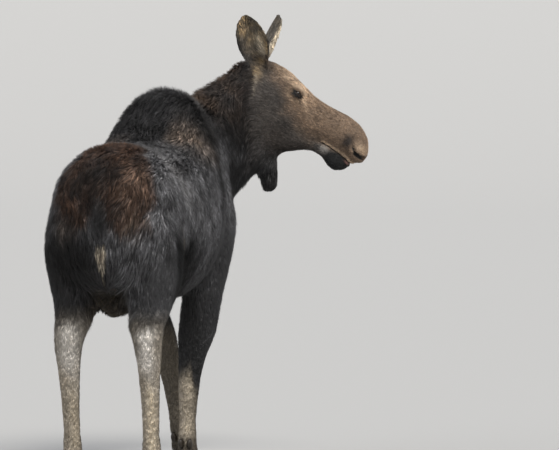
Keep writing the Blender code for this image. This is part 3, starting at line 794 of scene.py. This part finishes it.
def mark_muzzle(face, at):
    """Painted shade behind the nostril, with a pale wing and lip, a black chin and a pale streak before the
    eye.
    """
    along, above, out = at.head
    side = smooth(0.012, 0.030, np.abs(out))
    # Painted shade: the recess behind the nostril's wing is laid dark brown.
    shade = bump(along, 0.598, 0.025) * bump(above, -0.042, 0.030)
    face.lay(DARK_BROWN, np.clip(shade * 1.2, 0, 0.95) * side)
    wing = bump(along + 0.3 * (above + 0.03), 0.668, 0.030) * bump(above, -0.034, 0.017)
    face.lay(PALE_TAN, wing * 0.85 * side)
    mouth = to_line(along, above, MOUTH)
    under = np.interp(along, [a for a, h in MOUTH], [h for a, h in MOUTH]) - above
    ahead = smooth(0.485, 0.51, along)
    face.lay(CHEEK, smooth(0.0, 0.02, under) * smooth(0.44, 0.50, along) * 0.9)
    corner = bump(along, 0.528, 0.026) * bump(above, -0.138, 0.019)
    face.lay(SILVER, corner * (under > 0) * (0.33 + 0.3 * at.fine))
    chin = bump(along, 0.612, 0.056) * bump(above, -0.156, 0.040)
    face.lay(INK, np.clip(chin * 2.4, 0, 1) * smooth(0.0, 0.004, under) * smooth(0.52, 0.56, along))
    face.lay(PALE_TAN, bump(mouth, 0.009, 0.0055) * ahead * (under < 0) * 0.80)
    face.lay(LIP_PINK, bump(along, 0.650, 0.012) * bump(above, -0.126, 0.005) * 0.8)
    face.lay(BLACK, bump(mouth, 0, 0.0035) * ahead * 0.95)
    hole = np.minimum(to_line(along, above, NOSTRIL_HOLE) - 0.005, to_line(along, above, NOSTRIL_SLIT[2:]))
    face.lay(BLACK, below(0.002, 0.0065, hole) * side)
    streak = bump(to_line(along, above, ((0.322, -0.008), (0.345, -0.034), (0.392, -0.064))), 0, 0.011)
    face.lay(PALE_TAN, streak * side * (0.28 + 0.3 * at.middle))


def mark_eye(face, offset, near):
    """Dark lids with a pale fold over and under them, and a dark line running down towards the nose."""
    ahead, over = offset @ ALONG, offset @ ABOVE
    gap = np.hypot(ahead / 1.25, over)
    slant = over + 0.35 * ahead
    face.lay(PALE_TAN, bump(gap, 0.034, 0.0060) * smooth(0.0, 0.010, slant) * near * 0.7)
    face.lay(PALE_TAN, bump(gap, 0.034, 0.0050) * smooth(0.0, 0.010, -slant) * near * 0.45)
    face.lay(MUZZLE, below(0.020, 0.028, gap) * near * 0.7)
    lids = np.hypot((ahead - 0.003) / 2.5, over + 0.10 * ahead)
    face.lay(BLACK, below(0.0105, 0.0135, lids) * near * 0.97)
    tear = bump(over + 0.55 * (ahead - 0.020), -0.010, 0.004) * bump(ahead, 0.030, 0.012)
    face.lay(BLACK, tear * near * 0.9)


def mark_ear(side, index, coat, at):
    """Grey brown outside, ochre and grey inside; the right ear's rim is black, the left one's cream."""
    middle, normals = at.middle, at.normals
    root, tip_way, across, opening = ear_axes(side)
    offset = at.points - root
    height = offset @ tip_way
    to_nose = unit(ALONG - tip_way * (ALONG @ tip_way) - opening * (ALONG @ opening))
    ahead = offset @ to_nose  # across the ear, towards the nose
    rim = below(0.15, 0.65, np.abs(normals @ opening))
    ear = Paint(np.array(GREY_BROWN) * 0.55, len(height))
    ear.lay(CHARCOAL, (0.35 + 0.3 * middle) * below(0.06, 0.24, height))
    lining = Paint(GREY_BROWN, len(height))
    lining.lay(OCHRE, (0.50 if side == "right" else 0.20) + 0.7 * middle + 0.5 * at.fine)
    lining.lay(CHARCOAL, below(-0.055, -0.005, ahead) * below(0.12, 0.19, height) * 0.8)
    lining.lay(CREAM, bump(ahead, 0.030, 0.015) * below(0.10, 0.17, height) * 0.95)
    inside = smooth(-0.05, 0.25, normals @ opening)
    if side == "right":
        ear.lay(lining.colours, inside)
        ear.lay(BLACK, rim * 0.95 * smooth(0.02, 0.08, height))
        ear.lay(BLACK, below(-0.066, -0.050, ahead) * 0.8)
    else:
        lining.lay(CHARCOAL, np.full(len(height), 0.65))
        ear.lay(lining.colours, inside * smooth(-0.1, 0.3, -(normals @ OUT)))
        # How far a point stands out of the cup, and whether it is on the half nearer the other ear.
        cup = offset @ opening - 0.03 * ((height + 0.03) / EAR_LENGTH) ** 2 + 0.02
        inner_half = (offset @ across) * (across @ OUT) > 0
        ear.lay(CREAM, np.maximum(smooth(0.018, 0.026, cup) * inner_half * 0.9, rim * 0.55))
    coat.lay(ear.colours, at.weights[:, index])


# How the coat lies.

def lie_of_coat(points, normals, weights):
    """The way the hairs point, along the skin."""
    forward, up = on_body(points)[1:]
    backward = np.array((0.0, 1.0, 0.0))
    level = smooth(0.35, 0.9, normals[:, 2])[:, None]  # along the back the hair lies straight backwards
    trunk = (backward * 0.55 - UP * 0.85) * (1 - level) + backward * level
    neck = np.array((0.12, 0.45, -0.90)) * (1 - level) + np.array((0.25, 0.90, -0.35)) * level
    legs = on_legs(weights)
    flow = weights[:, [TRUNK]] * trunk + weights[:, [NECK]] * neck
    flow += weights[:, [HEAD]] * (-ALONG * 0.85 - UP * 0.25)
    flow += (weights[:, [BELL]] + weights[:, [TAIL]]) * -UP
    for side, index in (("right", EAR_RIGHT), ("left", EAR_LEFT)):
        flow += weights[:, [index]] * ear_axes(side)[1]
    flow += legs[:, None] * (-UP + backward * 0.08)
    flow = unit(flow - normals * (flow * normals).sum(1)[:, None] + 1e-6)
    across = np.cross(normals, flow)
    orderly = (legs + weights[:, HEAD] + weights[:, EAR_LEFT] + weights[:, EAR_RIGHT]).clip(0, 1)
    turn = (noise(points, 0.22, 21) * 0.30 + noise(points, 0.07, 22) * 0.22) * (1 - 0.6 * orderly)
    rump = weights[:, TRUNK] * below(-0.5, -0.3, forward) * smooth(1.1, 1.2, up)
    turn += noise(points, 0.035, 23) * 0.7 * rump
    flow = flow * np.cos(turn)[:, None] + across * np.sin(turn)[:, None]
    return unit(flow - normals * (flow * normals).sum(1)[:, None])


class Skin:
    """The finished skin's arrays and what is known at its vertices."""

    def __init__(self, verts, faces, weights, bald):
        self.verts, self.faces, self.weights, self.bald = verts, faces, weights, bald
        self.normals = vertex_normals(verts, faces)
        self.tree = BVHTree.FromPolygons(verts.tolist(), faces.tolist())
        a, b, c = (verts[faces[:, k]] for k in range(3))
        self.areas = np.linalg.norm(np.cross(b - a, c - a), axis=1) / 2

    def at(self, face, shares, values):
        """Values at places on faces, each place given by its shares of the face's corners."""
        return (values[self.faces[face]] * shares[:, :, None]).sum(1)

    def scatter(self, density):
        """Roots spread evenly for a density given at each face: points, normals and node weights."""
        total = np.cumsum(self.areas * density)
        count = int(total[-1])
        marks = (np.arange(count) + rng.random(count)) * (total[-1] / count)
        face = np.searchsorted(total, marks).clip(0, len(total) - 1)
        a, b = rng.random(count), rng.random(count)
        over = a + b > 1
        a[over], b[over] = 1 - a[over], 1 - b[over]
        shares = np.stack([1 - a - b, a, b], 1)
        return (self.at(face, shares, self.verts), unit(self.at(face, shares, self.normals)),
                self.at(face, shares, self.weights))

    def onto(self, points):
        """The nearest points of the skin."""
        find = self.tree.find_nearest
        found = [find(point) for point in points.tolist()]
        return np.array([hit[0] for hit in found]), np.array([hit[1] for hit in found])


def paths(skin, points, normals, weights, length):
    """Three points along each lock's way over the skin, with the normals at its ends."""
    lie = lie_of_coat(points, normals, weights)
    half = (length / 2)[:, None]
    middle = skin.onto(points + lie * half)[0]
    ahead = unit(0.75 * unit(middle - points) + 0.25 * lie)
    end, far = skin.onto(middle + ahead * half)
    # Over the coronets the hair hangs past the end of the skin.
    hem = on_legs(weights) * below(0.092, 0.118, points[:, 2]) * (normals[:, 2] > -0.3)
    middle = middle - UP * (0.007 * hem)[:, None]
    end = end - UP * (0.024 * hem)[:, None] + normals * (0.003 * hem)[:, None]
    return np.stack([points, middle, end], 1), normals, unit(0.5 * normals + 0.5 * far)


def grow(path, first_normal, last_normal, spec):
    """Closed tapering hairs, several to a lock, that follow its path and draw together at its end.

    spec holds, for each lock, its width, height at the tip and hair width, then how many hairs it has,
    how many sections each hair has and how far it draws together.
    """
    width, height, thick, hairs, sections, draw = spec
    lock = np.repeat(np.arange(len(path)), hairs)
    count = len(lock)
    start = rng.random(count) * 0.5
    reach = 0.50 + 0.35 * rng.random(count)
    aside = (rng.random(count) - 0.5) * width[lock]
    stray = (rng.random(count) - 0.5) * 0.20 * width[lock]
    rise = height[lock] * (0.62 + 0.46 * rng.random(count))
    half = thick[lock] * (0.35 + 0.30 * rng.random(count))
    root, mid, end = path[lock, 0], path[lock, 1], path[lock, 2]
    first, last = first_normal[lock], last_normal[lock]

    def along(t):
        t = t[:, None]
        return root * (1 - t) * (1 - 2 * t) + mid * 4 * t * (1 - t) + end * t * (2 * t - 1)

    rows = []
    for k in range(sections + 1):
        share = k / sections
        t = start + reach * share
        here = along(t)
        ahead = unit(along(t + 0.05) - here)
        normal = unit(first * (1 - t)[:, None] + last * t[:, None])
        normal = unit(normal - ahead * (normal * ahead).sum(1)[:, None])
        across = np.cross(normal, ahead)
        side = aside * (1 - draw * share) + stray * share
        up = rise * share**0.75 - 0.0012 * (k == 0)
        middle = here + across * side[:, None] + normal * up[:, None]
        if k == sections:
            rows.append(middle)
        else:
            wide = (half * (1 - share) ** 0.7)[:, None]
            rows += [middle - across * wide, middle + across * wide, middle + normal * wide * 0.9]
    faces = [(0, 2, 1)]
    for low in range(0, 3 * (sections - 1), 3):
        for a, b in ((0, 1), (1, 2), (2, 0)):
            faces += [(low + a, low + b, low + b + 3), (low + a, low + b + 3, low + a + 3)]
    low, tip = 3 * (sections - 1), 3 * sections
    faces += [(low, low + 1, tip), (low + 1, low + 2, tip), (low + 2, low, tip)]
    return np.stack(rows, 1), np.array(faces), lock


def coat_piece(name, verts, pattern, colours, places, look):
    """A piece of the coat, its hairs' patches laid at their roots' places on the unwrap."""
    count, size = verts.shape[:2]
    faces = (pattern[None] + (np.arange(count) * size)[:, None, None]).reshape(-1, 3)
    made = mesh_object(name, verts.reshape(-1, 3), faces)
    paint(made, colours.reshape(-1, 3))
    low, high = places.min(0), places.max(0)
    places = UV_RIM + (1 - 2 * UV_RIM) * (places - low) / np.maximum(high - low, 1e-6)
    turn = np.arange(size) * 2.4
    spots = np.stack([np.cos(turn), np.sin(turn)], 1) * UV_PATCH
    spots[-1] = (0, UV_PATCH)
    spots = (places[:, None] + spots[None]).reshape(-1, 2)
    layer = made.data.uv_layers.new(name="OFBake")
    layer.data.foreach_set("uv", spots[faces.ravel()].astype(np.float32).ravel())
    made.data.materials.append(look)
    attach(made, "root")
    return made


def unwrap(points, middle, axis, facing):
    """Angle round an axis from the way it faces, and the distance along it."""
    axis = unit(np.array(axis, float))
    facing = np.array(facing, float)
    facing = unit(facing - axis * (facing @ axis))
    side = np.cross(axis, facing)
    offset = points - middle
    return np.stack([np.arctan2(offset @ side, offset @ facing), offset @ axis], 1)


# Materials.

def material(name, roughness, specular=0.5):
    """A new material, its node tree and its shader."""
    made = bpy.data.materials.new(name)
    made.use_nodes = True
    shader = made.node_tree.nodes["Principled BSDF"]
    shader.inputs["Roughness"].default_value = roughness
    shader.inputs["Specular IOR Level"].default_value = specular
    return made, made.node_tree, shader


def node(tree, kind, **values):
    """A new node with some inputs set; an underscore in an input's name stands for a space."""
    made = tree.nodes.new("ShaderNode" + kind)
    for name, value in values.items():
        made.inputs[name.replace("_", " ")].default_value = value
    return made


def wire(tree, links):
    """Joins outputs to inputs, each link given as a node, its output, a node and its input."""
    for start, output, end, entry in links:
        tree.links.new(start.outputs[output], end.inputs[entry])


def painted(tree):
    """The node that gives the colours painted on the mesh."""
    made = node(tree, "Attribute")
    made.attribute_name = "coat"
    return made


def coat_material(name, roughness, grain_scale, grain_depth, sheen, specular):
    """A coat's material: its painted markings, broken up finely, with a grain of short hair."""
    made, tree, shader = material(name, roughness, specular)
    shader.inputs["Sheen Weight"].default_value = sheen
    shader.inputs["Sheen Roughness"].default_value = 0.4
    shader.inputs["Sheen Tint"].default_value = (0.86, 0.87, 0.90, 1)
    colour = painted(tree)
    place = node(tree, "TexCoord")
    grain = node(tree, "TexNoise", Scale=grain_scale, Detail=4)
    ramp = node(tree, "MapRange", From_Min=0.3, From_Max=0.7, To_Min=0.78, To_Max=1.22)
    scaled = node(tree, "VectorMath")
    scaled.operation = "SCALE"
    rough = node(tree, "Bump", Strength=0.5, Distance=grain_depth)
    wire(tree, ((place, "Object", grain, "Vector"), (grain, "Fac", ramp, "Value"),
                (colour, "Color", scaled, 0), (ramp, "Result", scaled, "Scale"),
                (scaled, "Vector", shader, "Base Color"), (grain, "Fac", rough, "Height"),
                (rough, "Normal", shader, "Normal")))
    return made


def eye_material():
    """The eye's painted iris and pupil under a wet gloss."""
    made, tree, shader = material("wet eye", 0.22, 0.25)
    shader.inputs["Coat Weight"].default_value = 0.25
    shader.inputs["Coat Roughness"].default_value = 0.04
    wire(tree, ((painted(tree), "Color", shader, "Base Color"),))
    return made


def horn_material():
    """Dark horn with growth rings and a little dust."""
    made, tree, shader = material("hoof horn", 0.45, 0.35)
    place = node(tree, "TexCoord")
    rings = node(tree, "TexWave", Scale=60, Distortion=3, Detail=3)
    rings.bands_direction = "Z"
    grain = node(tree, "TexNoise", Scale=90, Detail=5)
    both = node(tree, "Math")
    both.operation = "MULTIPLY"
    ramp = node(tree, "ValToRGB")
    ramp.color_ramp.elements[0].color = (0.006, 0.005, 0.0045, 1)
    ramp.color_ramp.elements[1].color = (0.075, 0.055, 0.038, 1)
    rough = node(tree, "Bump", Strength=0.6, Distance=0.0008)
    wire(tree, ((place, "Object", rings, "Vector"), (place, "Object", grain, "Vector"),
                (rings, "Fac", both, 0), (grain, "Fac", both, 1), (both, "Value", ramp, "Fac"),
                (ramp, "Color", shader, "Base Color"), (both, "Value", rough, "Height"),
                (rough, "Normal", shader, "Normal")))
    return made


# The hoofs.

HORN_VOXEL = 0.0035
SOLE = 0.0022  # horn lower than this is pressed flat on the floor


def horn(name, look):
    """A hoof or dewclaw with its facets smoothed, its sole flat on the floor."""
    verts, quads = remeshed(node_copy(name, 0), HORN_VOXEL)
    verts = evened(verts, quads, 8, 0.7)
    if name.startswith("hoof"):
        verts[verts[:, 2] < SOLE, 2] = 0.0
    made = mesh_object("horn_" + name, verts, quads, True)
    made.data.materials.append(look)
    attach(made, "root")
    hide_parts(name)


# Building.

def make_skin(look):
    """The skin with its lids, bare at mouth, nostrils and lids; and its arrays without the lids."""
    verts, faces, tree, owner = build_skin()
    along, above = on_head(verts)[:2]
    bald = bump(to_line(along, above, MOUTH), 0, 0.004) * smooth(0.48, 0.5, along)
    holes = np.minimum(to_line(along, above, NOSTRIL_HOLE) - 0.004, to_line(along, above, NOSTRIL_SLIT))
    bald = np.maximum(bald, below(0.003, 0.007, holes) * (along > 0.6))
    parts, shells, bare = [verts], [faces], [bald]
    start = len(verts)
    for side in ("right", "left"):
        grid, tris, scale = lid_patch(side, verts, faces)
        parts.append(grid)
        shells.append(tris + start)
        bare.append(below(1.10, 1.30, scale))
        start += len(grid)
        centre, forward, upward, facing = eye_frame(side, verts, faces)
        offset = verts - centre
        ellipse = np.hypot(offset @ forward / PATCH_LONG, offset @ upward / PATCH_TALL)
        covered = (ellipse < 0.98) & (offset @ facing > -0.03) & (offset @ facing < 0.06)
        bare[0] = np.where(covered, 1, bare[0])
    all_verts, all_faces = np.concatenate(parts), np.concatenate(shells)
    weights = spread(np.eye(len(FLESH))[nodes_of(all_verts, tree, owner)], all_faces, 34, 0.8)
    skin = Skin(all_verts, all_faces, weights, np.concatenate(bare))
    made = mesh_object("skin", all_verts, all_faces, True)
    # The skin is painted darker than the hair, for it lies in the hair's shade.
    shade = 0.72 - 0.20 * on_legs(weights)
    paint(made, markings(all_verts, skin.normals, weights) * shade[:, None])
    made.data.materials.append(look)
    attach(made, "root")
    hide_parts(*FLESH)
    return skin, verts, faces


# For each kind of coat: locks to the square metre, hairs to a lock, sections, length, lock's width,
# hair's width, how far a lock draws together and how much its tint varies.
KINDS = {
    "body": (5700, 10, 1, 0.070, 0.013, 0.0036, 0.85, 1.05),
    "neck": (5700, 10, 1, 0.066, 0.013, 0.0036, 0.85, 1.00),
    "leg": (9000, 8, 1, 0.044, 0.007, 0.0026, 0.2, 0.28),
    "head": (15500, 6, 1, 0.024, 0.0075, 0.0020, 0.3, 0.62),
    "ear": (17000, 6, 1, 0.032, 0.0085, 0.0022, 0.5, 0.8),
    "hanging": (10000, 9, 2, 0.070, 0.016, 0.0036, 0.6, 0.5),
}
KIND_OF_NODE = ["body", "neck", "head", "hanging", "hanging", "ear", "ear"] + ["leg"] * 4
UV_PATCH = 0.0015  # half the width of a hair's patch on the unwrap
UV_RIM = 0.006  # what is left free round the unwrap
TRUNK_CUTS = (-9, -0.42, -0.12, 0.25, 9)  # where the trunk's coat is parted, forward


def tints(count, spread_of_tint):
    """Random brightness, with no stray hair far out of the rest."""
    return np.exp(spread_of_tint * rng.standard_normal(count).clip(-2, 1.6))


def grow_coat(skin, looks):
    """All the coat's pieces, one kind after another."""
    strongest = skin.weights[skin.faces].mean(1).argmax(1)
    haired = skin.bald[skin.faces].mean(1) < 0.5
    face_kind = np.array([list(KINDS).index(KIND_OF_NODE[k]) for k in strongest])
    for number, (kind, (density, hairs, sections, *_, draw, tint)) in enumerate(KINDS.items()):
        points, normals, weights = skin.scatter((face_kind == number) * haired * density)
        shares = {k: weights[:, [i for i, of in enumerate(KIND_OF_NODE) if of == k]].sum(1) for k in KINDS}
        lengths, widths, thicks = (sum(shares[k] * KINDS[k][3 + i] for k in KINDS) for i in range(3))
        lengths *= 0.8 + 0.4 * rng.random(len(points))
        right, forward, up = on_body(points)
        small = shares["leg"] * below(0.45, 0.85, up)
        mane = (shares["neck"] + shares["body"]) * between(up, 1.52, 1.68, 1.74, 1.82)
        crest = shares["neck"] * smooth(1.72, 1.82, up)
        lengths *= (1 - 0.38 * small) * (1 + 0.25 * mane) * (1 - 0.45 * crest)
        lengths *= 1 - 0.45 * shares["head"] * smooth(0.40, 0.60, on_head(points)[0])
        lengths *= 1 - 0.5 * bump(right, 0, 0.05) * bump(up, 1.0, 0.08) * (forward < -0.6)
        widths *= 1 + 0.60 * small
        thicks *= 1 - 0.35 * small
        path, first, last = paths(skin, points, normals, weights, lengths)
        height = coat_depth(points, weights) * (1.0 + 0.22 * noise(points, 0.03, 31) * (1 - small))
        height *= 1 - 0.35 * crest
        verts, pattern, lock = grow(path, first, last, (widths, height, thicks, hairs, sections, draw))
        roots = verts[:, 0]
        colours = markings(roots, normals[lock], weights[lock])
        colours *= tints(len(points), 0.42 * tint)[lock][:, None]
        colours *= tints(len(lock), 0.45 * tint)[:, None]
        ends = np.linspace(1 - 0.45 * tint, 1 + 0.45 * tint, verts.shape[1])[None, :, None]
        colours = colours[:, None] * ends
        for name, mask, middle, axis, facing in coat_parts(kind, roots):
            places = unwrap(roots[mask], middle, axis, facing)
            made = coat_piece(name, verts[mask], pattern, colours[mask], places, looks[kind])


def coat_parts(kind, roots):
    """How a kind of coat is parted: each piece's name, its hairs, and the middle, axis and facing of
    its unwrap."""
    right, forward = on_body(roots)[:2]
    sides = (("right", 1), ("left", -1))
    if kind == "body":
        cuts = enumerate(zip(TRUNK_CUTS, TRUNK_CUTS[1:]), 1)
        return [(f"coat_trunk_{name}_{k}", (forward >= low) & (forward < high) & (right * sign >= 0),
                 ORIGIN + UP * 1.15, (0, 1, 0), (-sign, 0, 0))
                for k, (low, high) in cuts for name, sign in sides]
    if kind == "neck":
        middle = ORIGIN + np.array((-0.15, -0.85, 1.5))
        axis = np.array((-0.30, -0.55, 0.40))
        side = np.cross(axis, UP)
        half = (roots - middle) @ side
        return [(f"coat_neck_{name}", half * sign >= 0, middle, axis, side * sign) for name, sign in sides]
    if kind == "leg":
        masks = {f"{end}_{name}": (right * sign >= 0) & ((forward > 0.0) == front)
                 for name, sign in sides for end, front in (("hind", False), ("fore", True))}
        return [("coat_leg_" + name, mask, roots[mask].mean(0), (0, 0, 1),
                 (-1 if name.endswith("right") else 1, 0, 0)) for name, mask in masks.items()]
    if kind == "head":
        return [("coat_head", np.ones(len(roots), bool), POLL + ALONG * 0.3 - ABOVE * 0.1, ALONG, ABOVE)]
    if kind == "ear":
        axes = {name: ear_axes(name) for name, sign in sides}
        out = on_head(roots)[2]
        return [(f"coat_ear_{name}", out * sign >= 0, axes[name][0] + axes[name][3] * 0.01, axes[name][1],
                 -axes[name][3]) for name, sign in sides]
    front = forward > 0
    return [(name, mask, roots[mask].mean(0), (0, 0, 1), (0, 1, 0))
            for name, mask in (("coat_bell", front), ("coat_tail", ~front))]


# The floor, the light and the camera.

FLAT_REACH = 60.0  # the floor is level up to here
BOWL_REACH = 112.0
BOWL_RISE = 9.0
VIEW_RIGHT = np.array((-0.97237, -0.23345, 0.0))
VIEW_BACK = np.array((-0.23273, 0.96938, 0.07846))
VIEW_UP = np.array((0.01832, -0.07629, 0.99692))
VIEW_FOOT = np.array((0.0003, 0.0052, 0.0))  # the point between the feet that the view is laid out from
VIEW_AIM_RIGHT, VIEW_AIM_UP = 0.6295, 1.1237
VIEW_DISTANCE = 20.0
VIEW_WIDTH = 2.4955357  # how much the picture takes in at that distance
FILM = 36


def backdrop():
    """A level floor that curves up at its rim, so that no horizon shows."""
    around = 96
    rings = [(0.5, 0.0), (8.0, 0.0), (FLAT_REACH, 0.0)]
    for t in np.arange(1, 13) / 12:
        rings.append((FLAT_REACH + (BOWL_REACH - FLAT_REACH) * t, BOWL_RISE * t * t))
    angles = np.arange(around) * math.tau / around
    verts = [(0.0, 0.0, 0.0)]
    for reach, rise in rings:
        verts += [(reach * math.cos(angle), reach * math.sin(angle), rise) for angle in angles]
    fan = [(0, 1 + (i + 1) % around, 1 + i) for i in range(around)]
    tris = np.vstack([fan, ring_faces(len(rings), around, 1)])[:, ::-1]
    return mesh_object("floor", np.array(verts), tris, True)


def stage():
    """A pale floor under a soft sky, with a key and a fill light."""
    floor = backdrop()
    made, _, shader = material("pale floor", 0.9)
    shader.inputs["Base Color"].default_value = (0.43, 0.425, 0.415, 1)
    floor.data.materials.append(made)
    world = bpy.data.worlds.new("studio")
    world.use_nodes = True
    world.node_tree.nodes["Background"].inputs["Color"].default_value = (0.84, 0.86, 0.90, 1)
    world.node_tree.nodes["Background"].inputs["Strength"].default_value = 0.75
    bpy.context.scene.world = world
    for name, energy, spread_angle, way, colour in (
        ("key", 2.7, 24, (-0.60, 0.80, 1.05), (1.0, 0.97, 0.92)),
        ("fill", 0.9, 60, (0.8, 0.7, 0.6), (0.92, 0.96, 1.0)),
    ):
        data = bpy.data.lights.new(name, "SUN")
        data.energy = energy
        data.angle = math.radians(spread_angle)
        data.color = colour
        lamp = scene_object(name, data)
        lamp.rotation_mode = "QUATERNION"
        lamp.rotation_quaternion = Vector(way).to_track_quat("Z", "Y")
    bpy.context.scene.view_settings.view_transform = "Standard"


def camera():
    """Set back from the animal's right hind quarter, a little above its back."""
    data = bpy.data.cameras.new("camera")
    data.sensor_width = FILM
    data.lens = FILM * VIEW_DISTANCE / VIEW_WIDTH
    data.clip_end = 400
    seen = scene_object("camera", data)
    foot = ORIGIN + VIEW_FOOT
    stand = foot + VIEW_BACK * VIEW_DISTANCE
    aim = foot + VIEW_RIGHT * VIEW_AIM_RIGHT + VIEW_UP * VIEW_AIM_UP
    seen.location = Vector(stand)
    seen.rotation_mode = "QUATERNION"
    seen.rotation_quaternion = Vector(aim - stand).to_track_quat("-Z", "Y")
    bpy.context.scene.camera = seen


def main():
    """Builds the model, the floor, the light and the camera."""
    coarse = coat_material("coat", 0.48, 260, 0.0006, 0.03, 0.32)
    short = coat_material("short coat", 0.6, 420, 0.0004, 0.06, 0.42)
    hide = coat_material("hide", 0.75, 320, 0.0010, 0.0, 0.4)
    skin, verts, faces = make_skin(hide)
    wet = eye_material()
    for side in ("right", "left"):
        eyeball(side, verts, faces, wet)
    grow_coat(skin, {"body": coarse, "neck": coarse, "hanging": coarse, "leg": short, "head": short,
                     "ear": short})
    look = horn_material()
    for name in sorted(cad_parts):
        if name.startswith(("hoof", "dewclaw")):
            horn(name, look)
    stage()
    camera()


main()
